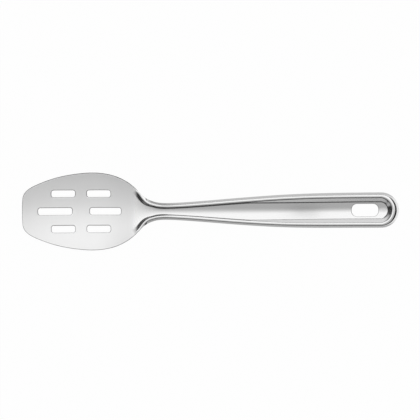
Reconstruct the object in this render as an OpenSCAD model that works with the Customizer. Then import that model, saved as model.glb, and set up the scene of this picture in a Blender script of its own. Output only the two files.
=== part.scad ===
// Slotted serving spoon pressed from one piece of polished steel sheet.
// X runs from the tip of the bowl to the end of the handle, Y across and
// Z up. The origin is on the table, under the middle of the spoon.

/* [Spoon] */
// Length over all, from the tip of the bowl to the end of the handle
length = 330; // [310:1:370]
// Thickness of the sheet
sheet = 1.5; // [1:0.1:1.6]

/* [Bowl] */
// Width of the bowl at its widest place
bowl_w = 68.1; // [60:0.1:76]
// Distance from the tip back to the widest place
bowl_at = 61.7; // [56:0.1:66]
// Distance from the tip back to the narrowest place of the neck
neck_at = 123; // [118:0.5:130]
// Radius of the dish across the bowl
dish_r = 95; // [60:1:120]
// How far the dish climbs from its lowest place towards the tip
tip_rise = 8.5; // [6:0.5:11]
// How far the dish has climbed where it reaches the neck
heel_rise = 14; // [11:0.5:16]
// Slope of the dish where it reaches the neck, in degrees
heel_slope = 9; // [0:0.5:14]

/* [Slots] */
// Distance from the tip to the bars between the front and rear slots
slots_at = 51.4; // [46:0.1:56]
// Width of each drain slot
slot_w = 6.1; // [4.5:0.1:8]
// Radius in the corners of a slot
slot_corner = 2; // [0.5:0.1:2.2]
// Distance from one row of slots to the next, along the dish
row_pitch = 15.5; // [12:0.1:17]
// Length of a slot in the two outer rows
outer_slot = 20.6; // [14:0.1:24]
// Length of the front slot in the middle row
front_slot = 29.6; // [20:0.1:34]
// Length of the rear slot in the middle row
rear_slot = 27.2; // [20:0.1:32]
// Bar of sheet left between the front and rear slots of the outer rows
outer_bar = 10.4; // [6:0.1:14]
// Bar of sheet left between the two slots of the middle row
middle_bar = 15.8; // [8:0.1:16]

/* [Handle] */
// Width of the neck at its narrowest
neck_w = 14.8; // [13:0.1:18]
// Width of the handle near its round end
handle_w = 31; // [27:0.1:36]
// Width of the trough's sloping wall at the wide end
wall_w = 2.8; // [2:0.1:4]
// Radius of the trough's hollow floor
floor_r = 25; // [16:1:60]
// Angle of the trough's side walls
wall_angle = 41; // [34:1:46]
// Angle of the walls where the trough opens into the bowl
heel_angle = 30; // [24:1:36]
// Depth of the turned-down side at the neck
neck_flange = 4; // [3:0.1:6]
// Depth of the turned-down side at the wide end
end_flange = 7; // [6:0.1:10]
// Radius of the outer shoulder at the neck
neck_shoulder = 1.8; // [1.7:0.1:2.4]
// Radius of the outer shoulder at the wide end
end_shoulder = 2.2; // [2:0.1:2.8]
// Extra radius of the shoulder at the very end of the handle
end_extra = 2; // [0:0.1:3.5]
// Width of the trough's wall where it opens into the bowl
flare_w = 2.4; // [1.5:0.1:3]
// How far the turned-down side leans out towards its lower edge
flange_lean = 1.2; // [0.6:0.1:1.6]
// Radius inside the bend at the top of the wall
bend_r = 1; // [0.5:0.1:1.5]
// Radius inside the bend at the foot of the wall
foot_r = 2; // [1:0.1:2.5]

/* [Side view] */
// Distance behind the tip at which the rim starts to rise into the handle
rim_at = 99; // [94:0.5:100]
// Slope of the rim there, in degrees
rim_slope = 9; // [4:1:14]
// Distance behind the tip at which the wall is full and the side turns down
turn_at = 102.5; // [102:0.5:106]
// Distance behind the tip at which the rim has its full form
rim_full_at = 116; // [112:0.5:118]
// Height of the rim above the table at the neck
neck_z = 17; // [15:0.5:20]
// Slope of the rim where it passes the neck, in degrees
neck_slope = 17; // [12:1:24]
// Distance from the tip to the top of the handle's arch
crown_at = 198; // [180:1:220]
// Height of the rim above the table at the top of the arch
crown_z = 26; // [22:0.5:34]
// Length of the level stretch at the end of the handle
level_l = 28; // [20:1:40]

/* [Hanging hole] */
// Length of the hole
hang_l = 23.4; // [16:0.1:28]
// Width of the hole
hang_w = 10.8; // [7:0.1:12]
// Radius in the corners of the hole
hang_corner = 4.8; // [2:0.1:5.4]
// Distance from the middle of the hole to the end of the handle
hang_in = 29.8; // [27:0.1:36]

/* [Hidden] */
$fn = 48;

half = length / 2;
bowl_hw = bowl_w / 2;
neck_hw = neck_w / 2;
handle_hw = handle_w / 2;
end_at = length - handle_hw;
level_at = length - level_l;

// The bowl's edge from the tip to its widest place: how far back, as a
// share of bowl_at, and how far out, as a share of half the bowl's width
front_shares = [
    [0, 0], [0.003, 0.24], [0.0135, 0.395], [0.037, 0.483], [0.07, 0.549],
    [0.123, 0.618], [0.237, 0.718], [0.49, 0.876], [0.775, 0.973], [1, 1]];
// The same from the widest place to the neck: how far back between the
// two, and how much of the difference in width is left
heel_shares = [
    [0.17, 0.97], [0.343, 0.869], [0.512, 0.67], [0.626, 0.455],
    [0.735, 0.2], [0.82, 0.09], [0.91, 0.022], [1, 0]];
// The same from the neck to the round end: how much of the extra width
// has been reached
grip_shares = [
    [0.08, 0.05], [0.172, 0.2], [0.355, 0.55], [0.538, 0.83],
    [0.684, 0.945], [0.867, 0.99], [1, 1]];

edge_marks = concat(
    [for (s = front_shares) [s[0] * bowl_at, s[1] * bowl_hw]],
    [for (s = heel_shares) [
        bowl_at + s[0] * (neck_at - bowl_at),
        neck_hw + s[1] * (bowl_hw - neck_hw)]],
    [for (s = grip_shares) [
        neck_at + s[0] * (end_at - neck_at),
        neck_hw + s[1] * (handle_hw - neck_hw)]]);

// Facets: how long they run along the edge and how many turn the end
bowl_step = length / 95;
heel_mark = len(front_shares) + 2;
heel_step = length / 150;
grip_step = length / 45;
end_steps = 9;

function mix(a, b, t) = a + (b - a) * t;
function ramp(a, b, x) = min(max((x - a) / (b - a), 0), 1);
function ease(a, b, x) = let (t = ramp(a, b, x)) t * t * (3 - 2 * t);
// Height along a smooth curve from [x, z, slope] to [x, z, slope]
function sweep(p, q, x) =
    let (l = q[0] - p[0], t = ramp(p[0], q[0], x))
    mix(p[1], q[1], t * t * (3 - 2 * t))
    + l * p[2] * t * (1 - t) * (1 - t)
    - l * q[2] * t * t * (1 - t);
function unit(v) = v / norm(v);
function flip(v) = [v[0], -v[1]];

// The plan outline of one side: a smooth curve through the marks, then a
// quarter turn round the end of the handle
function lead(i) = i < 0
    ? flip(edge_marks[1])
    : i < len(edge_marks) ? edge_marks[i] : [length, handle_hw];
function curve(i, t) =
    let (a = lead(i - 1), b = lead(i), c = lead(i + 1), d = lead(i + 2),
         s = norm(c - b),
         m = s * unit((b - a) / norm(b - a) + (c - b) / s),
         n = s * unit((c - b) / s + (d - c) / norm(d - c)))
    mix(b, c, t * t * (3 - 2 * t)) + m * t * (1 - t) * (1 - t)
    - n * t * t * (1 - t);
function steps(i) =
    ceil(norm(lead(i + 1) - lead(i))
        / (lead(i)[0] < lead(heel_mark)[0] ? bowl_step
            : lead(i)[0] < neck_at ? heel_step : grip_step));
edge = concat(
    [for (i = [0 : len(edge_marks) - 2], k = [0 : steps(i) - 1])
        curve(i, k / steps(i))],
    [for (k = [0 : end_steps])
        let (a = 90 * (1 - k / end_steps))
        [end_at + handle_hw * cos(a), handle_hw * sin(a)]]);
rows = len(edge) - 1;

function edge_at(i) = i < 0 ? flip(edge[1])
    : i > rows ? flip(edge[rows - 1]) : edge[i];
// Direction from the edge into the sheet, in plan
function inward(i) = let (t = unit(edge_at(i + 1) - edge_at(i - 1)))
    [t[1], -t[0]];

// Where each row meets the middle line: fans open at the tip and the end,
// and between them the trough's floor is met square
tip_fan_share = 0.36;
tip_start_share = 0.6;
end_fan_share = 0.12;
tip_fan_at = bowl_at * tip_fan_share;
function spine(i, foot_x) =
    let (u = edge[i][0])
    u < tip_fan_at
        ? mix(tip_fan_at * tip_start_share, tip_fan_at,
            i / len([for (e = edge) if (e[0] < tip_fan_at) 1]))
        : u > end_at
            ? mix(end_at, length, end_fan_share
                * (1 - (rows - i) / end_steps))
            : mix(u, foot_x, ease(plan_from, rim_at, u));

// The dish of the bowl: an arc across, rising to the tip and to the neck
function dish_line(x) =
    tip_rise * pow(max(1 - x / bowl_at, 0), 2)
    + sweep([bowl_at, 0, 0], [neck_at, heel_rise, tan(heel_slope)], x);
function dish(x, y) =
    sheet + dish_line(x) + dish_r - sqrt(dish_r * dish_r - y * y);

function dish_slope(x) = (dish_line(x + sheet) - dish_line(x - sheet))
    / (2 * sheet);

function dish_normal(x, y) =
    unit([-dish_slope(x), -y / sqrt(dish_r * dish_r - y * y), 1]);

// How far each cut runs past both faces of the sheet
cut_past = 2 * sheet;

// The rim of the handle in side view, which leaves the bowl at its edge
rim_z = dish(rim_at, lookup(rim_at, edge));
function crest(x) =
    x < neck_at
        ? sweep([rim_at, rim_z, tan(rim_slope)],
            [neck_at, neck_z, tan(neck_slope)], x)
        : x < crown_at
            ? sweep([neck_at, neck_z, tan(neck_slope)],
                [crown_at, crown_z, 0], x)
            : sweep([crown_at, crown_z, 0], [level_at, end_flange, 0], x);

// The turned-down side: the radius and the angle of its shoulder, the length
// of its straight part, and how far in from the edge the crest lies. It
// starts at the heel as a narrow strip that is hardly bent
first_turn_share = 0.1;
function side_form(x) =
    let (g = ease(neck_at, level_at, x),
         r = mix(neck_shoulder, end_shoulder, g)
             + end_extra * max(x - end_at, 0) / handle_hw,
         f = mix(neck_flange, end_flange, g),
         tilt = atan(flange_lean / (f - r / 2)),
         turned = mix(first_turn_share, 1, ease(turn_at, rim_full_at, x)),
         bend = (90 - tilt) * turned,
         straight = (f - r * (1 - sin(tilt))) / cos(tilt) * turned)
    [r, bend, straight, r * sin(bend) + straight * cos(bend)];

// The section of the handle from its lower edge inwards, as distance in
// from the outline and height against the rim
top_r = sheet + bend_r;
function hollow_r(x) = mix(dish_r, floor_r, ease(rim_at, neck_at, x));
// Half the width of the floor, which the rim and the wall leave
floor_hw = handle_hw - side_form(end_at)[3]
    - (top_r + foot_r) * sin(wall_angle) - wall_w;
function section(i) =
    let (x = edge[i][0],
         side = side_form(x), r = side[0], bend = side[1], top = side[3],
         room = x < end_at ? edge[i][1] : handle_hw,
         lean = mix(heel_angle, wall_angle, ease(turn_at, neck_at, x)),
         arcs_w = (top_r + foot_r) * sin(lean),
         inner = side_form(min(x, end_at))[3] + arcs_w,
         flat = x > neck_at ? max(room - floor_hw - inner, 0)
             : flare_w * (1 - ease(turn_at, rim_full_at, x)),
         foot = -top_r * (1 - cos(lean)) - flat * tan(lean),
         low = atan(max(room - inner - flat, sheet) / hollow_r(x)),
         soft_r = foot_r * sin(lean) / (sin(lean) - sin(low)))
    concat(
        [[0, -r * (1 - cos(bend)) - side[2] * sin(bend)]],
        [for (a = [bend, bend * 2 / 3, bend / 3, 0])
            [top - r * sin(a), r * cos(a) - r]],
        [for (a = [lean / 2, lean])
            [top + top_r * sin(a), top_r * (cos(a) - 1)]],
        [[top + top_r * sin(lean) + flat, foot],
         [top + arcs_w + flat, foot - soft_r * (cos(low) - cos(lean))]]);
rim_cols = 8;
floor_cols = 5;
cols = rim_cols + floor_cols;

// Distance from the middle line of the trough, which ends in a round
floor_end = end_at - side_form(length)[3] + side_form(end_at)[3];
function off_middle(p) = norm(p - [min(p[0], floor_end), 0]);

// Upper face of the sheet: row i from the edge to the middle line. The
// rows lie evenly in the bowl, and turn to the rim's own columns behind it.
// There the rim first stands on the dish, and then both follow the crest
even_share = 0.63;
plan_from = mix(bowl_at, rim_at, even_share);
function row(i) =
    let (e = edge[i], n = inward(i), x = e[0],
         sec = section(i),
         foot = e + n * sec[rim_cols][0],
         foot_rise = sec[rim_cols][1],
         s = [spine(i, foot[0]), 0],
         bowl_k = 1 - ease(plan_from, rim_at, x),
         wall_k = ease(rim_at, turn_at, x),
         grip_k = ease(rim_at, rim_full_at, x),
         out = dish_normal(x, e[1]),
         lip = e + (1 - wall_k) * sheet * [out[0], out[1]],
         standing = dish(foot[0], foot[1]) - foot_rise,
         reach = off_middle(foot))
    [for (j = [0 : cols])
        let (even = mix(lip, s, j / cols),
             t = max(j - rim_cols, 0) / floor_cols,
             near = t == 0 ? lip + n * sec[j][0] : mix(foot, s, t),
             p = mix(near, even, bowl_k),
             hollow = (pow(reach, 2) - pow(off_middle(p), 2))
                 / (2 * hollow_r(x)),
             z = t == 0
                 ? mix(dish(p[0], p[1]),
                     mix(standing, crest(p[0]), grip_k) + sec[j][1], wall_k)
                 : mix(dish(p[0], p[1]), crest(p[0]) + foot_rise - hollow,
                     wall_k * grip_k))
        [p[0], p[1], z]];
upper = [for (i = [0 : rows]) row(i)];

// Lower face: one thickness of the sheet below, square to the upper face
function over(v) = [v[0], -v[1], v[2]];
function up(i, j) =
    i < 0 ? over(upper[1][j])
    : i > rows ? over(upper[rows - 1][j])
    : upper[i][j];
function along(i, j) = j < cols
    ? up(i + 1, j) - up(i - 1, j)
    : (i < rows ? upper[i + 1][cols] : upper[rows][cols - 1])
        - (i > 0 ? upper[i - 1][cols] : upper[0][cols - 1]);
function across(i, j) = j < cols
    ? upper[i][max(j - 1, 0)] - upper[i][j + 1] : [0, 1, 0];
function skin_normal(i, j) = unit(cross(along(i, j), across(i, j)));
// The cut edge is square to the sheet in the bowl and level on the handle
function edge_normal(i) =
    let (n = skin_normal(i, 0), e = edge[i],
         square_cut = unit(mix(dish_normal(e[0], e[1]), n,
             ease(rim_at, turn_at, e[0]))),
         v = unit(mix(square_cut, unit([n[0], n[1], 0]),
             ease(turn_at, rim_full_at, e[0]))))
    v / (e[0] < rim_at ? 1 : v * n);
lower = [for (i = [0 : rows]) [for (j = [0 : cols])
    upper[i][j] - sheet * (j == 0 ? edge_normal(i) : skin_normal(i, j))]];

// Both sides as one loop of rows that share the middle line. The diagonals
// are mirrored, and turned beside the tip, where a row lies on that line
loop = 2 * rows;
function side(i) = i > rows ? loop - i : i;
function face_points(grid) = concat(
    [for (i = [0 : loop - 1], j = [0 : cols - 1])
        i > rows ? over(grid[side(i)][j]) : grid[i][j]],
    [for (i = [0 : rows]) grid[i][cols]]);
face_count = loop * cols + rows + 1;
function spot(i, j, base) = base
    + (j < cols ? (i % loop) * cols + j : loop * cols + side(i % loop));
function sheet_faces() = concat(
    [for (i = [0 : loop - 1], j = [0 : cols - 1])
        let (a = spot(i, j, 0), b = spot(i + 1, j, 0),
             c = spot(i + 1, j + 1, 0), d = spot(i, j + 1, 0),
             f = face_count)
        each (i > 0 && i < rows) || i == loop - 1
            ? [[a, b, c], [a, c, d],
               [c + f, b + f, a + f], [d + f, c + f, a + f]]
            : [[a, b, d], [b, c, d],
               [d + f, b + f, a + f], [d + f, c + f, b + f]]],
    [for (i = [0 : loop - 1])
        let (a = spot(i, 0, 0), b = spot(i + 1, 0, 0), f = face_count)
        each [[b, a, a + f], [b, a + f, b + f]]]);

module pressed_sheet() {
    translate([-half, 0, 0])
        polyhedron(concat(face_points(upper), face_points(lower)),
            sheet_faces(), convexity = 8);
}

// A bar with rounded corners, lying along X
module rounded_bar(l, w, r) {
    square([l - 2 * r, w], center = true);
    square([l, w - 2 * r], center = true);
    for (x = [-1, 1], y = [-1, 1])
        translate([x * (l / 2 - r), y * (w / 2 - r)])
            circle(r);
}

// One slot, cut square to the dish at the slot's own middle: x is how far
// back the middle lies, row counts from the middle row, and l is its level
// length, which is longer along the sloping sheet
module drain_slot(x, row, l) {
    turn = row * row_pitch / dish_r * 180 / PI;
    out = dish_normal(x, dish_r * sin(turn));
    lie = unit([1, 0, dish_slope(x)]);
    wide = cross(out, lie);
    y = dish_r * sin(turn);
    p = [x - half, y, dish(x, y)];
    multmatrix([for (k = [0 : 2]) [lie[k], wide[k], out[k], p[k]]])
        translate([0, 0, -sheet - cut_past])
            linear_extrude(sheet + 2 * cut_past)
                rounded_bar(l / lie[0], slot_w, slot_corner);
}

// Two slots in line, with a bar of sheet between them
module slot_pair(row, front_l, rear_l, bar) {
    drain_slot(slots_at - (bar + front_l) / 2, row, front_l);
    drain_slot(slots_at + (bar + rear_l) / 2, row, rear_l);
}

module hanging_hole() {
    translate([half - hang_in, 0, -cut_past])
        linear_extrude(end_flange + 2 * cut_past)
            rounded_bar(hang_l, hang_w, hang_corner);
}

// The whole spoon: one pressed sheet with its slots and its hole
module pressed_spoon() {
    color("gainsboro")
        difference() {
            pressed_sheet();
            slot_pair(-1, outer_slot, outer_slot, outer_bar);
            slot_pair(0, front_slot, rear_slot, middle_bar);
            slot_pair(1, outer_slot, outer_slot, outer_bar);
            hanging_hole();
        }
}

pressed_spoon();
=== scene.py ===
import math

import bpy
from mathutils import Matrix, Vector


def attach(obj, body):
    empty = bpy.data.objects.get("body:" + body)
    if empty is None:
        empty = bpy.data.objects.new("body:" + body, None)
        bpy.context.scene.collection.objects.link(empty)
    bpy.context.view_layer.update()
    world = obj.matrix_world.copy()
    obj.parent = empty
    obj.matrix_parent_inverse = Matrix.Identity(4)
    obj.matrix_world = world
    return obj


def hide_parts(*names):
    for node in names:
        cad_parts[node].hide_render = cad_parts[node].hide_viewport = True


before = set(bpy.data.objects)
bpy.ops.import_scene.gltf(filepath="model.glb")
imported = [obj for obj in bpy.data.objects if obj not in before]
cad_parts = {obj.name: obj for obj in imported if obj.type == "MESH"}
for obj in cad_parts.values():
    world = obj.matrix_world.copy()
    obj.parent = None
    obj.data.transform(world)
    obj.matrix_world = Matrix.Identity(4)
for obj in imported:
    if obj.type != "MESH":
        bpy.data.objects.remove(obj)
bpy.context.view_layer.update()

# The spoon is one sheet of stainless steel. It is cut out as a flat blank that
# is the same on both sides of its middle line, pressed, punched and polished.
# Sizes are in mm, lengths run back from the bowl's tip, and hw is half a width.
MM = 0.001
length = 330
sheet = 1.5
middle_at = length / 2
bowl_hw, bowl_at = 34.05, 61.7
neck_hw, neck_at = 7.4, 123
handle_hw = 15.5
end_at = length - handle_hw

front_shares = [
    (0, 0), (0.003, 0.24), (0.0135, 0.395), (0.037, 0.483), (0.07, 0.549),
    (0.123, 0.618), (0.237, 0.718), (0.49, 0.876), (0.775, 0.973), (1, 1)]
heel_shares = [
    (0.17, 0.97), (0.343, 0.869), (0.512, 0.67), (0.626, 0.455),
    (0.735, 0.2), (0.82, 0.09), (0.91, 0.022), (1, 0)]
handle_shares = [
    (0.08, 0.05), (0.172, 0.2), (0.355, 0.55), (0.538, 0.83),
    (0.684, 0.945), (0.867, 0.99), (1, 1)]
marks = (
    [Vector((s * bowl_at, w * bowl_hw)) for s, w in front_shares]
    + [Vector((bowl_at + s * (neck_at - bowl_at),
               neck_hw + w * (bowl_hw - neck_hw))) for s, w in heel_shares]
    + [Vector((neck_at + s * (end_at - neck_at),
               neck_hw + w * (handle_hw - neck_hw))) for s, w in handle_shares])


def mark(i):
    """Mark i, with one more before the tip and after the last mark."""
    if i < 0:
        return Vector((marks[1].x, -marks[1].y))
    return marks[i] if i < len(marks) else Vector((length, handle_hw))


def between(i, t):
    """The outline between marks i and i + 1."""
    before, start, end, after = (mark(i + k) for k in (-1, 0, 1, 2))
    span = (end - start).length
    leaves = ((start - before).normalized() + (end - start).normalized()).normalized() * span
    arrives = ((end - start).normalized() + (after - end).normalized()).normalized() * span
    u = t * t * (3 - 2 * t)
    return (start + (end - start) * u + leaves * (t * (1 - t) ** 2)
            - arrives * (t * t * (1 - t)))


# The sheet is laid in rows that run from its edge to its middle line. They
# are closest where the bowl turns to handle.
bowl_step, heel_step, handle_step = 1.1, 0.55, 1.9
heel_at = 80
end_steps = 36


def row_step(x):
    """How far apart the rows are at x."""
    return bowl_step if x < heel_at else heel_step if x < neck_at else handle_step


edge = []
for i in range(len(marks) - 1):
    steps = math.ceil((mark(i + 1) - mark(i)).length / row_step(mark(i).x))
    edge += [between(i, k / steps) for k in range(steps)]
for k in range(end_steps + 1):
    turn = math.radians(90 * (1 - k / end_steps))
    edge.append(Vector((end_at + handle_hw * math.cos(turn), handle_hw * math.sin(turn))))
rows = len(edge) - 1


def inward(i):
    """Direction from the edge into the sheet at row i."""
    before = edge[i - 1] if i else Vector((edge[1].x, -edge[1].y))
    after = edge[i + 1] if i < rows else Vector((edge[rows - 1].x, -edge[rows - 1].y))
    along_edge = (after - before).normalized()
    return Vector((along_edge.y, -along_edge.x))


# The press. The bowl is a dish of one radius across, which rises to the tip
# and to the neck, and the handle is a trough between turned-down sides. Its
# rim leaves the bowl's edge, arches up and comes down to the table.
dish_r = 95
tip_rise = 8.5
heel_rise, heel_slope = 14, math.tan(math.radians(9))
rim_at, turn_at, rim_full_at = 99, 102.5, 116
rim_slope = math.tan(math.radians(9))
first_turn_share = 0.1
neck_z, neck_slope = 17, math.tan(math.radians(17))
crown_at, crown_z = 198, 26
level_at = length - 28
neck_flange, end_flange = 4, 7
neck_shoulder, end_shoulder, end_extra = 1.8, 2.2, 2
wall_w, floor_r = 2.8, 25
flare_w, flange_lean = 2.4, 1.2
top_bend, foot_bend = 2.5, 2
heel_angle, wall_angle = math.radians(30), math.radians(41)


def mix(a, b, t):
    """The value the share t of the way from a to b."""
    return a + (b - a) * t


def ease(a, b, x):
    """A smooth step from 0 at a to 1 at b."""
    t = min(max((x - a) / (b - a), 0), 1)
    return t * t * (3 - 2 * t)


def sweep(p, q, x):
    """Height along a smooth curve from p to q, each (x, height, slope)."""
    span = q[0] - p[0]
    t = min(max((x - p[0]) / span, 0), 1)
    return (mix(p[1], q[1], t * t * (3 - 2 * t))
            + span * p[2] * t * (1 - t) ** 2 - span * q[2] * t * t * (1 - t))


def dish_line(x):
    """How far the dish's middle line stands above its lowest point at x."""
    return (tip_rise * max(1 - x / bowl_at, 0) ** 2
            + sweep((bowl_at, 0, 0), (neck_at, heel_rise, heel_slope), x))


def dish(x, y):
    """Height of the dish's upper face."""
    return sheet + dish_line(x) + dish_r - math.sqrt(dish_r ** 2 - y * y)


def dish_slope(x):
    """Slope of the dish along its middle line."""
    return (dish_line(x + sheet) - dish_line(x - sheet)) / (2 * sheet)


def dish_normal(x, y):
    """Direction straight out of the dish's upper face."""
    return Vector((-dish_slope(x), -y / math.sqrt(dish_r ** 2 - y * y), 1)).normalized()


def edge_y(x):
    """Half the outline's width at x."""
    k = next(i for i in range(rows) if edge[i + 1].x >= x)
    a, b = edge[k], edge[k + 1]
    return mix(a.y, b.y, (x - a.x) / (b.x - a.x))


rim_z = dish(rim_at, edge_y(rim_at))


def crest(x):
    """Height of the rim's crest at x."""
    at_neck = (neck_at, neck_z, neck_slope)
    if x < neck_at:
        return sweep((rim_at, rim_z, rim_slope), at_neck, x)
    if x < crown_at:
        return sweep(at_neck, (crown_at, crown_z, 0), x)
    return sweep((crown_at, crown_z, 0), (level_at, end_flange, 0), x)


def hollow_r(x):
    """Radius of the hollow across the sheet: the dish's, then the floor's."""
    return mix(dish_r, floor_r, ease(rim_at, neck_at, x))


def side_form(x):
    """The turned-down side at x: its shoulder's radius and bend, the length of
    its straight part, and how far in from the edge the crest lies."""
    to_end = ease(neck_at, level_at, x)
    shoulder = (mix(neck_shoulder, end_shoulder, to_end)
                + end_extra * max(x - end_at, 0) / handle_hw)
    flange = mix(neck_flange, end_flange, to_end)
    off_plumb = math.atan(flange_lean / (flange - shoulder / 2))
    turned = mix(first_turn_share, 1, ease(turn_at, rim_full_at, x))
    bend = (math.pi / 2 - off_plumb) * turned
    straight = (flange - shoulder * (1 - math.sin(off_plumb))) / math.cos(off_plumb) * turned
    return shoulder, bend, straight, shoulder * math.sin(bend) + straight * math.cos(bend)


def crest_in(x):
    """How far in from the edge the rim's crest lies."""
    return side_form(x)[3]


floor_hw = (handle_hw - crest_in(end_at) - wall_w
            - (top_bend + foot_bend) * math.sin(wall_angle))


def wall_form(x, edge_room):
    """The wall at x, where edge_room is the way from the edge to the middle
    line: its angle, its width, its foot's height, and the angle and radius
    with which the foot runs into the floor."""
    lean = mix(heel_angle, wall_angle, ease(turn_at, neck_at, x))
    inner = crest_in(min(x, end_at)) + (top_bend + foot_bend) * math.sin(lean)
    flat = flare_w * (1 - ease(turn_at, rim_full_at, x))
    if x > neck_at:
        flat = max(edge_room - floor_hw - inner, 0)
    low = math.atan(max(edge_room - inner - flat, sheet) / hollow_r(x))
    foot = -top_bend * (1 - math.cos(lean)) - flat * math.tan(lean)
    return lean, flat, foot, low, foot_bend * math.sin(lean) / (math.sin(lean) - math.sin(low))


bend_steps, foot_steps, floor_cols = 5, 3, 12


def section(i):
    """The rim at row i from its lower edge inwards: distance in and height."""
    x = edge[i].x
    shoulder, bend, straight, top = side_form(x)
    lean, flat, foot, low, soft = wall_form(x, edge[i].y if x < end_at else handle_hw)
    points = [(0, -shoulder * (1 - math.cos(bend)) - straight * math.sin(bend))]
    for n in range(bend_steps + 1):
        a = bend * (1 - n / bend_steps)
        points.append((top - shoulder * math.sin(a), shoulder * (math.cos(a) - 1)))
    for n in range(1, bend_steps + 1):
        a = lean * n / bend_steps
        points.append((top + top_bend * math.sin(a), top_bend * (math.cos(a) - 1)))
    wall_end = top + top_bend * math.sin(lean)
    points.append((wall_end + flat / 2, foot + flat / 2 * math.tan(lean)))
    points.append((wall_end + flat, foot))
    for n in range(1, foot_steps + 1):
        a = mix(lean, low, n / foot_steps)
        points.append((wall_end + flat + soft * (math.sin(lean) - math.sin(a)),
                       foot - soft * (math.cos(a) - math.cos(lean))))
    return [Vector(p) for p in points]


rim_cols = len(section(0)) - 1
cols = rim_cols + floor_cols
even_share, tip_fan_share, tip_start_share, end_fan_share = 0.63, 0.36, 0.6, 0.12
even_from = mix(bowl_at, rim_at, even_share)
tip_fan_at = tip_fan_share * bowl_at
tip_fan = len([p for p in edge if p.x < tip_fan_at])
floor_end = end_at - crest_in(length) + crest_in(end_at)


def off_middle(p):
    """Distance from the trough's middle line, which ends in a round."""
    return (p - Vector((min(p.x, floor_end), 0))).length


def spine(i, foot_x):
    """Where row i meets the middle line. The rows fan out at both ends."""
    x = edge[i].x
    if x < tip_fan_at:
        return mix(tip_fan_at * tip_start_share, tip_fan_at, i / tip_fan)
    if x > end_at:
        return mix(end_at, length, end_fan_share * (1 - (rows - i) / end_steps))
    return mix(x, foot_x, ease(even_from, rim_at, x))


def pressed_row(i):
    """Upper face of the sheet at row i, from the edge to the middle line."""
    start, inwards, x = edge[i], inward(i), edge[i].x
    rim = section(i)
    foot = start + inwards * rim[rim_cols].x
    end = Vector((spine(i, foot.x), 0))
    even = 1 - ease(even_from, rim_at, x)
    turned = ease(rim_at, turn_at, x)
    raised = ease(rim_at, rim_full_at, x)
    lip = start + (1 - turned) * sheet * dish_normal(x, start.y).xy
    reach = off_middle(foot)
    foot_rise = rim[rim_cols].y
    standing = dish(foot.x, foot.y) - foot_rise
    points = []
    for j in range(cols + 1):
        t = max(j - rim_cols, 0) / floor_cols
        near = foot.lerp(end, t) if t else lip + inwards * rim[j].x
        p = near.lerp(lip.lerp(end, j / cols), even)
        bowl_z = dish(p.x, p.y)
        if t:
            rise = foot_rise - (reach ** 2 - off_middle(p) ** 2) / (2 * hollow_r(x))
            z = mix(bowl_z, crest(p.x) + rise, turned * raised)
        else:
            z = mix(bowl_z, mix(standing, crest(p.x), raised) + rim[j].y, turned)
        points.append(Vector((p.x, p.y, z)))
    return points


pressed = [pressed_row(i) for i in range(rows + 1)]


def place(p):
    """A point of the press in the frame's metres, on the side of -Y."""
    return Vector((p.x - middle_at, -p.y, p.z)) * MM


bpy.ops.object.select_all(action="DESELECT")
bpy.ops.mesh.primitive_grid_add(x_subdivisions=rows, y_subdivisions=cols, size=1)
spoon = bpy.context.object
spoon.name = spoon.data.name = "spoon_sheet"
sheet_part, edge_part, side_part = range(3)
for part in ("sheet", "cut_edge", "sides"):
    spoon.data.materials.append(bpy.data.materials.new(part))
vertex_at, row_col = {}, {}
for v in spoon.data.vertices:
    i, j = round((v.co.x + 0.5) * rows), round((v.co.y + 0.5) * cols)
    v.co = place(pressed[i][j])
    vertex_at[i, j] = v.index
    row_col[v.index] = (i, j)


def pick_none(kind):
    """Edit mode is set to pick vertices, edges or faces, with none picked."""
    bpy.ops.object.mode_set(mode="EDIT")
    bpy.ops.mesh.select_mode(type=kind)
    bpy.ops.mesh.select_all(action="DESELECT")
    bpy.ops.object.mode_set(mode="OBJECT")


# Beside both ends of the middle line one face is cut the way that keeps it
# from folding, and then the other half is mirrored on.
same_place = 1e-6
for a, b in (((1, cols - 1), (0, cols)), ((rows - 1, cols - 1), (rows, cols))):
    pick_none("VERT")
    spoon.data.vertices[vertex_at[a]].select = True
    spoon.data.vertices[vertex_at[b]].select = True
    bpy.ops.object.mode_set(mode="EDIT")
    bpy.ops.mesh.vert_connect()
    bpy.ops.object.mode_set(mode="OBJECT")
for f in spoon.data.polygons:
    corners = [row_col[v] for v in f.vertices]
    if all(edge[n].x > rim_at and k <= rim_cols for n, k in corners):
        f.material_index = side_part
mirror = spoon.modifiers.new("other_half", "MIRROR")
mirror.use_axis = (False, True, False)
mirror.merge_threshold = same_place
bpy.ops.object.modifier_apply(modifier=mirror.name)

# Where the end's rows crowd on the middle line, they are eased apart.
crowd_hw, crowd_before, crowd_past = 1.6, 1, 4
ease_share, ease_times = 0.5, 12
for v in spoon.data.vertices:
    x = v.co.x / MM + middle_at
    v.select = abs(v.co.y) < crowd_hw * MM and end_at - crowd_before < x < end_at + crowd_past
bpy.ops.object.mode_set(mode="EDIT")
bpy.ops.mesh.select_mode(type="VERT")
bpy.ops.mesh.vertices_smooth(factor=ease_share, repeat=ease_times)
bpy.ops.object.mode_set(mode="OBJECT")

# The slots and the hanging hole. Each is punched with a bar that has round
# corners. The punch is a little larger than its hole, and a narrow collar
# of even faces is then drawn in to the hole's own edge.
row_pitch, slot_w, slot_corner = 15.5, 6.1, 2
slots_at, outer_slot, outer_bar = 51.4, 20.6, 10.4
front_slot, rear_slot, middle_bar = 29.6, 27.2, 15.8
hang_l, hang_w, hang_corner = 23.4, 10.8, 4.8
hang_in, hang_z = 29.8, 2
collar, collar_slack = 1.1, 0.05
punch_h, punch_steps, hole_reach = 12, 12, 4


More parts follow.
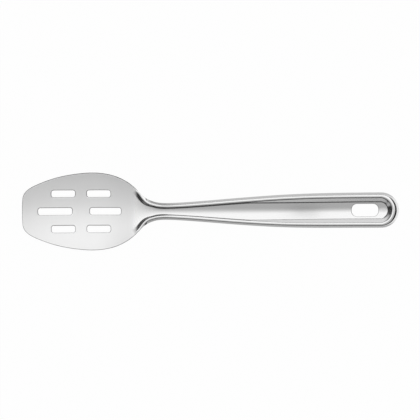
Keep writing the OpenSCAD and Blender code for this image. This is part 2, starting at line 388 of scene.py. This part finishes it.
def slot_frame(x, row):
    """Middle of a slot on the dish, and the directions along, across and out."""
    y = dish_r * math.sin(row * row_pitch / dish_r)
    along = Vector((1, 0, dish_slope(x))).normalized()
    out = dish_normal(x, y)
    return Vector((x - middle_at, y, dish(x, y))), along, out.cross(along), out


holes = []
for row, front, rear, bar in ((-1, outer_slot, outer_slot, outer_bar),
                              (0, front_slot, rear_slot, middle_bar),
                              (1, outer_slot, outer_slot, outer_bar)):
    for x, slot_l in ((slots_at - (bar + front) / 2, front),
                      (slots_at + (bar + rear) / 2, rear)):
        axes = slot_frame(x, row)
        holes.append((axes, slot_l / axes[1].x, slot_w, slot_corner))
hang_axes = (Vector((middle_at - hang_in, 0, hang_z)), Vector((1, 0, 0)),
             Vector((0, 1, 0)), Vector((0, 0, 1)))
holes.append((hang_axes, hang_l, hang_w, hang_corner))

punch_mark = bpy.data.materials.new("punch")
for (at, along, across, out), hole_l, hole_w, corner in holes:
    bpy.ops.object.select_all(action="DESELECT")
    bpy.ops.mesh.primitive_cube_add(size=1)
    punch = bpy.context.object
    punch.data.materials.append(punch_mark)
    for v in punch.data.vertices:
        v.co = Vector((v.co.x * (hole_l + 2 * collar), v.co.y * (hole_w + 2 * collar),
                       v.co.z * punch_h)) * MM
    pick_none("EDGE")
    for e in punch.data.edges:
        a, b = (punch.data.vertices[k].co for k in e.vertices)
        e.select = abs(a.z - b.z) > MM
    bpy.ops.object.mode_set(mode="EDIT")
    bpy.ops.mesh.bevel(offset=(corner + collar) * MM, segments=punch_steps, affect="EDGES")
    bpy.ops.object.mode_set(mode="OBJECT")
    turned = Matrix((along, across, out)).transposed().to_4x4()
    punch.data.transform(Matrix.Translation(at * MM) @ turned)
    punch.select_set(True)
    spoon.select_set(True)
    bpy.context.view_layer.objects.active = spoon
    bpy.ops.object.join()

pick_none("FACE")
punch_part = spoon.data.materials.find(punch_mark.name)
for f in spoon.data.polygons:
    f.select = f.material_index == punch_part
bpy.ops.object.mode_set(mode="EDIT")
bpy.ops.mesh.intersect(mode="SELECT_UNSELECT", separate_mode="NONE", solver="EXACT")
bpy.ops.mesh.select_all(action="DESELECT")
bpy.ops.object.mode_set(mode="OBJECT")


def beside(hole, co):
    """Where a point lies in a hole, the nearest point of the line on which the
    round corners' middles and the straight sides' lie, and its height."""
    (at, along, across, out), hole_l, hole_w, corner = hole
    away = co / MM - at
    spot = Vector((away.dot(along), away.dot(across)))
    a, b = hole_l / 2 - corner, hole_w / 2 - corner
    return spot, Vector((min(max(spot.x, -a), a), min(max(spot.y, -b), b))), away.dot(out)


def off_core(hole, co):
    """How far a point lies from that line."""
    spot, core, height = beside(hole, co)
    return (spot - core).length


def holds(hole, co, grow):
    """Whether a hole that is larger by grow all round holds a point."""
    spot, core, height = beside(hole, co)
    return (spot - core).length < hole[3] + grow and abs(height) < hole_reach


def on_sheet(x, y):
    """Height of the sheet's upper face where the holes are."""
    if x < rim_at:
        return dish(x, y)
    edge_room = edge_y(x)
    lean, flat, foot, low, soft = wall_form(x, edge_room)
    foot -= soft * (math.cos(low) - math.cos(lean))
    reach = edge_room - crest_in(x) - (top_bend + foot_bend) * math.sin(lean) - flat
    return crest(x) + foot - (reach ** 2 - y * y) / (2 * floor_r)


def keep_edges(wanted):
    """Of the selected edges only those stay selected whose middle is wanted."""
    verts, edges = spoon.data.vertices, spoon.data.edges
    for e in edges:
        if e.select:
            a, b = (verts[k].co for k in e.vertices)
            e.select = wanted((a + b) / 2)
    for v in verts:
        v.select = False
    for f in spoon.data.polygons:
        f.select = False
    for e in edges:
        if e.select:
            for k in e.vertices:
                verts[k].select = True


for f in spoon.data.polygons:
    f.select = f.material_index == punch_part or any(
        holds(h, f.center, collar - same_place / MM) for h in holes)
bpy.ops.object.mode_set(mode="EDIT")
bpy.ops.mesh.delete(type="FACE")
bpy.ops.mesh.select_all(action="SELECT")
bpy.ops.mesh.remove_doubles(threshold=2 * same_place)
bpy.ops.mesh.select_mode(type="EDGE")
bpy.ops.mesh.select_all(action="DESELECT")
bpy.ops.mesh.select_non_manifold(extend=False, use_wire=True, use_boundary=True,
                                 use_multi_face=False, use_non_contiguous=False,
                                 use_verts=False)
bpy.ops.object.mode_set(mode="OBJECT")
keep_edges(lambda mid: any(holds(h, mid, collar + collar_slack) for h in holes))
bpy.ops.object.mode_set(mode="EDIT")
bpy.ops.mesh.extrude_edges_move()
bpy.ops.object.mode_set(mode="OBJECT")
for v in spoon.data.vertices:
    if v.select:
        hole = min(holes, key=lambda h: off_core(h, v.co))
        (at, along, across, out), hole_l, hole_w, corner = hole
        spot, core, height = beside(hole, v.co)
        spot = core + (spot - core).normalized() * corner
        moved = at + along * spot.x + across * spot.y
        z = on_sheet(moved.x + middle_at, moved.y)
        moved += out * ((z - moved.z) / out.z)
        v.co = moved * MM
spoon.data.materials.pop(index=punch_part)

# The thickness and the edges. The sheet is 1.5 mm thick, measured down from
# the pressed face. Every cut edge is tumbled round, and on the middle line
# nothing is cut but the holes and the two ends.
hole_round, edge_round, round_steps = 0.6, 0.15, 4
round_past_hole = 0.8
uncut_hw, cut_end = 2, 8
sharp_angle, smooth_angle = 50, 40
thick = spoon.modifiers.new("thickness", "SOLIDIFY")
thick.thickness = sheet * MM
thick.offset = -1
thick.use_even_offset = True
thick.use_quality_normals = True
thick.material_offset_rim = edge_part
bpy.ops.object.modifier_apply(modifier=thick.name)
for v in spoon.data.vertices:
    v.co.z = max(v.co.z, 0)
    v.co.x = min(max(v.co.x, -middle_at * MM), middle_at * MM)


def at_hole(mid):
    """Whether an edge with this middle is the cut edge of a hole."""
    return any(holds(h, mid, round_past_hole) for h in holes)


def at_outline(mid):
    """Whether it can be the cut edge of the outline."""
    uncut = abs(mid.y) < uncut_hw * MM and abs(mid.x) < (middle_at - cut_end) * MM
    return not uncut and not at_hole(mid)


for cut, radius in ((at_hole, hole_round), (at_outline, edge_round)):
    bpy.ops.object.mode_set(mode="EDIT")
    bpy.ops.mesh.select_all(action="DESELECT")
    bpy.ops.mesh.edges_select_sharp(sharpness=math.radians(sharp_angle))
    bpy.ops.object.mode_set(mode="OBJECT")
    keep_edges(cut)
    bpy.ops.object.mode_set(mode="EDIT")
    bpy.ops.mesh.bevel(offset=radius * MM, segments=round_steps, affect="EDGES",
                       clamp_overlap=False, material=edge_part)
    bpy.ops.object.mode_set(mode="OBJECT")
for v in spoon.data.vertices:
    v.co.z = max(v.co.z, 0)
bpy.ops.object.shade_smooth_by_angle(angle=math.radians(smooth_angle))

# The finish: polished stainless steel, satin in the bowl and, past the heel,
# close to a mirror. Fine polishing lines run along the spoon, and it has broad
# light wear. The handle's sides turn bright at once where they leave the bowl.
bowl_rough, bowl_metal, bowl_tone = 0.36, 0.6, 0.84
handle_rough, handle_metal, handle_tone = 0.12, 1, 0.78
edge_rough = 0.14
smooth_over, bright_over = (92, 106), (98, 120)
side_smooth_over, side_bright_over = (98, 102), (98, 101.5)
line_scale, line_detail = (60, 2600, 2600), 3
line_strength, line_height = 0.02, 0.00002
wear_scale, wear_detail, wear_share = 90, 2, 0.05


def soft_step(tree, value, start, end, low, high):
    """A smooth step from low to high, each a number or a socket, as a value
    goes from start to end."""
    made = tree.nodes.new("ShaderNodeMapRange")
    made.interpolation_type = "SMOOTHSTEP"
    tree.links.new(value, made.inputs["Value"])
    for name, amount in (("From Min", start), ("From Max", end),
                         ("To Min", low), ("To Max", high)):
        if isinstance(amount, (int, float)):
            made.inputs[name].default_value = amount
        else:
            tree.links.new(amount, made.inputs[name])
    return made.outputs[0]


def node_math(tree, operation, *values):
    """One step of arithmetic on numbers and sockets."""
    made = tree.nodes.new("ShaderNodeMath")
    made.operation = operation
    for socket, amount in zip(made.inputs, values):
        if isinstance(amount, (int, float)):
            socket.default_value = amount
        else:
            tree.links.new(amount, socket)
    return made.outputs[0]


def noise(tree, vector, scale, detail):
    """A cloudy pattern on a place."""
    made = tree.nodes.new("ShaderNodeTexNoise")
    made.inputs["Scale"].default_value = scale
    made.inputs["Detail"].default_value = detail
    tree.links.new(vector, made.inputs["Vector"])
    return made.outputs[0]


def steel_finish(name, rough, metal, tone, smooth_over, bright_over):
    """Polished steel with these values in the bowl. It turns as smooth and as
    bright as the handle over the two stretches given."""
    steel = bpy.data.materials.new(name)
    steel.use_nodes = True
    tree = steel.node_tree
    nodes, links = tree.nodes, tree.links
    shader = nodes["Principled BSDF"]
    spots = nodes.new("ShaderNodeTexCoord").outputs["Object"]
    way = nodes.new("ShaderNodeSeparateXYZ")
    links.new(spots, way.inputs[0])

    def to_handle(in_bowl, on_handle, stretch):
        start, end = ((x - middle_at) * MM for x in stretch)
        return soft_step(tree, way.outputs["X"], start, end, in_bowl, on_handle)

    shader.inputs["Metallic"].default_value = metal
    if metal != handle_metal:
        links.new(to_handle(metal, handle_metal, bright_over), shader.inputs["Metallic"])
    shader.inputs["Base Color"].default_value = (tone, tone, tone, 1)
    if tone != handle_tone:
        links.new(to_handle(tone, handle_tone, bright_over), shader.inputs["Base Color"])
    wear = noise(tree, spots, wear_scale, wear_detail)
    worn = node_math(tree, "MULTIPLY_ADD", wear, wear_share,
                     to_handle(rough, handle_rough, smooth_over))
    links.new(worn, shader.inputs["Roughness"])
    stretched = nodes.new("ShaderNodeMapping")
    stretched.inputs["Scale"].default_value = line_scale
    links.new(spots, stretched.inputs["Vector"])
    relief = nodes.new("ShaderNodeBump")
    relief.inputs["Strength"].default_value = line_strength
    relief.inputs["Distance"].default_value = line_height
    links.new(noise(tree, stretched.outputs[0], 1, line_detail), relief.inputs["Height"])
    links.new(relief.outputs[0], shader.inputs["Normal"])
    return steel


finishes = spoon.data.materials
finishes[sheet_part] = steel_finish("polished_steel", bowl_rough, bowl_metal, bowl_tone,
                                    smooth_over, bright_over)
finishes[edge_part] = steel_finish("polished_edge", edge_rough, handle_metal, handle_tone,
                                   smooth_over, bright_over)
finishes[side_part] = steel_finish("polished_sides", bowl_rough, bowl_metal, bowl_tone,
                                   side_smooth_over, side_bright_over)
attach(spoon, "root")
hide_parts("pressed_spoon")

# The table is matt paper that the camera sees as plain white. What the steel
# mirrors of it has painted shade beside the spoon, darkest beside the bowl, and
# a painted pool of white light past the handle's end.
table_w, matt_tone, paper_glow = 8, 0.5, 0.98
bowl_shade_tones, bowl_over = (0.3, 0.05), 30 * MM
handle_shade_tones, handle_over = (0.5, 0.64), 10 * MM
neck_over, end_over = (-70 * MM, -30 * MM), (158 * MM, 164 * MM)
bpy.ops.object.select_all(action="DESELECT")
bpy.ops.mesh.primitive_plane_add(size=table_w, location=(0, 0, 0))
table = bpy.context.object
table.name = "table"
paper = bpy.data.materials.new("white_paper")
paper.use_nodes = True
tree = paper.node_tree
tree.nodes.clear()
spots = tree.nodes.new("ShaderNodeTexCoord")
way = tree.nodes.new("ShaderNodeSeparateXYZ")
tree.links.new(spots.outputs["Object"], way.inputs[0])
x, y = way.outputs["X"], way.outputs["Y"]
# Painted shade beside the spoon and painted light past its end, in the colour the paper glows
# with in the steel's reflections.
painted_shade_by_bowl = soft_step(tree, y, -bowl_over, bowl_over, *bowl_shade_tones)
painted_shade_by_handle = soft_step(tree, y, -handle_over, handle_over, *handle_shade_tones)
painted_shade_by_spoon = soft_step(tree, x, *neck_over, painted_shade_by_bowl, painted_shade_by_handle)
mirrored = soft_step(tree, x, *end_over, painted_shade_by_spoon, 1)
rays = tree.nodes.new("ShaderNodeLightPath")
seen = tree.nodes.new("ShaderNodeMix")
seen.data_type = "FLOAT"
# The steel's reflections see the painted shade and painted light; the camera sees plain white.
tree.links.new(rays.outputs["Is Glossy Ray"], seen.inputs[0])
seen.inputs[2].default_value = 1
tree.links.new(mirrored, seen.inputs[3])
glow = tree.nodes.new("ShaderNodeEmission")
tree.links.new(seen.outputs[0], glow.inputs["Color"])
matt = tree.nodes.new("ShaderNodeBsdfDiffuse")
matt.inputs["Color"].default_value = (matt_tone, matt_tone, matt_tone, 1)
direct = node_math(tree, "MAXIMUM", rays.outputs["Is Camera Ray"],
                   rays.outputs["Is Glossy Ray"])
direct = node_math(tree, "MAXIMUM", direct, rays.outputs["Is Transmission Ray"])
surface = tree.nodes.new("ShaderNodeMixShader")
tree.links.new(node_math(tree, "MULTIPLY", direct, paper_glow), surface.inputs[0])
tree.links.new(matt.outputs[0], surface.inputs[1])
tree.links.new(glow.outputs[0], surface.inputs[2])
result = tree.nodes.new("ShaderNodeOutputMaterial")
tree.links.new(surface.outputs[0], result.inputs["Surface"])
table.data.materials.append(paper)

# The room lights the spoon evenly in white. What the steel mirrors of it is grey
# on the near side, bright on the far side and dark low down on both, by the lean
# in degrees. It is dark too where the heel mirrors it and past the tip and end.
brightest, shade, least_tone = 1.2, 0.94, 0.38
lean_tones = [(-90, 0.58), (-79, 0.55), (-76, 0.06), (-46, 0.06), (-43, 0.5),
              (-14, 0.5), (-8, 0.6), (0, 0.92), (7, 1.2), (56, 1.2),
              (60, 0.2), (69, 0.2), (74, 0.92), (90, 0.8)]
heel_x, heel_from_z, heel_to_z = (-0.5, -0.35), (0.22, 0.3), (0.58, 0.68)
tip_x, tip_z, least_x = (-0.93, -0.85), (0.3, 0.4), (-0.8, -0.6)
end_x, end_z = (0.55, 0.63), (0.02, 0.08)
world = bpy.data.worlds.new("studio")
bpy.context.scene.world = world
world.use_nodes = True
tree = world.node_tree
tree.nodes.clear()
spots = tree.nodes.new("ShaderNodeTexCoord")
way = tree.nodes.new("ShaderNodeSeparateXYZ")
tree.links.new(spots.outputs["Generated"], way.inputs[0])
x, y, z = (way.outputs[k] for k in "XYZ")
lean = node_math(tree, "ARCTAN2", y, z)
tones = tree.nodes.new("ShaderNodeValToRGB")
tree.links.new(node_math(tree, "MULTIPLY_ADD", lean, 1 / math.pi, 0.5), tones.inputs[0])
stops = tones.color_ramp.elements
while len(stops) < len(lean_tones):
    stops.new(0.5)
for stop, (degrees, tone) in zip(stops, lean_tones):
    stop.position = degrees / 180 + 0.5
    stop.color = (tone / brightest, tone / brightest, tone / brightest, 1)

heel_band = node_math(tree, "MULTIPLY", soft_step(tree, z, *heel_from_z, 0, 1),
                      soft_step(tree, z, *heel_to_z, 1, 0))
by_heel = node_math(tree, "MULTIPLY", soft_step(tree, x, *heel_x, shade, 0), heel_band)
past_tip = node_math(tree, "MULTIPLY", soft_step(tree, x, *tip_x, shade, 0),
                     soft_step(tree, z, *tip_z, 1, 0))
past_end = node_math(tree, "MULTIPLY", soft_step(tree, x, *end_x, 0, shade),
                     soft_step(tree, z, *end_z, 0, 1))
dark = node_math(tree, "MAXIMUM", node_math(tree, "MAXIMUM", by_heel, past_tip), past_end)
least = soft_step(tree, x, *least_x, least_tone, 0)
room = tree.nodes.new("ShaderNodeBackground")
tree.links.new(node_math(tree, "MAXIMUM", tones.outputs[0], least), room.inputs["Color"])
tree.links.new(node_math(tree, "MULTIPLY_ADD", dark, -brightest, brightest),
               room.inputs["Strength"])
white = tree.nodes.new("ShaderNodeBackground")
white.inputs["Color"].default_value = (1, 1, 1, 1)
rays = tree.nodes.new("ShaderNodeLightPath")
surround = tree.nodes.new("ShaderNodeMixShader")
tree.links.new(rays.outputs["Is Glossy Ray"], surround.inputs[0])
tree.links.new(white.outputs[0], surround.inputs[1])
tree.links.new(room.outputs[0], surround.inputs[2])
result = tree.nodes.new("ShaderNodeOutputWorld")
tree.links.new(surround.outputs[0], result.inputs["Surface"])

# The camera looks down from far away, as the photograph was taken, with the
# bowl on the left. It leans by 1.6 degrees and is turned by a quarter of a
# degree. The picture is 420 units wide, 0.8735 mm each.
picture_w, unit = 420, 0.8735
distance, sensor_w, view_end = 3.0, 36, 20
tilt, twist = math.radians(1.6), math.radians(-0.25)
aim_x, aim_y, aim_z = -0.0003, 0.001, 0.012
lens = bpy.data.cameras.new("camera")
camera = bpy.data.objects.new("camera", lens)
bpy.context.scene.collection.objects.link(camera)
lens.sensor_width = sensor_w
lens.lens = sensor_w * distance / (picture_w * unit * MM)
lens.clip_end = view_end
camera.location = (aim_x, aim_y + distance * math.sin(tilt),
                   aim_z + distance * math.cos(tilt))
camera.rotation_euler = (-tilt, 0, twist)
bpy.context.scene.camera = camera
bpy.context.scene.view_settings.view_transform = "Standard"
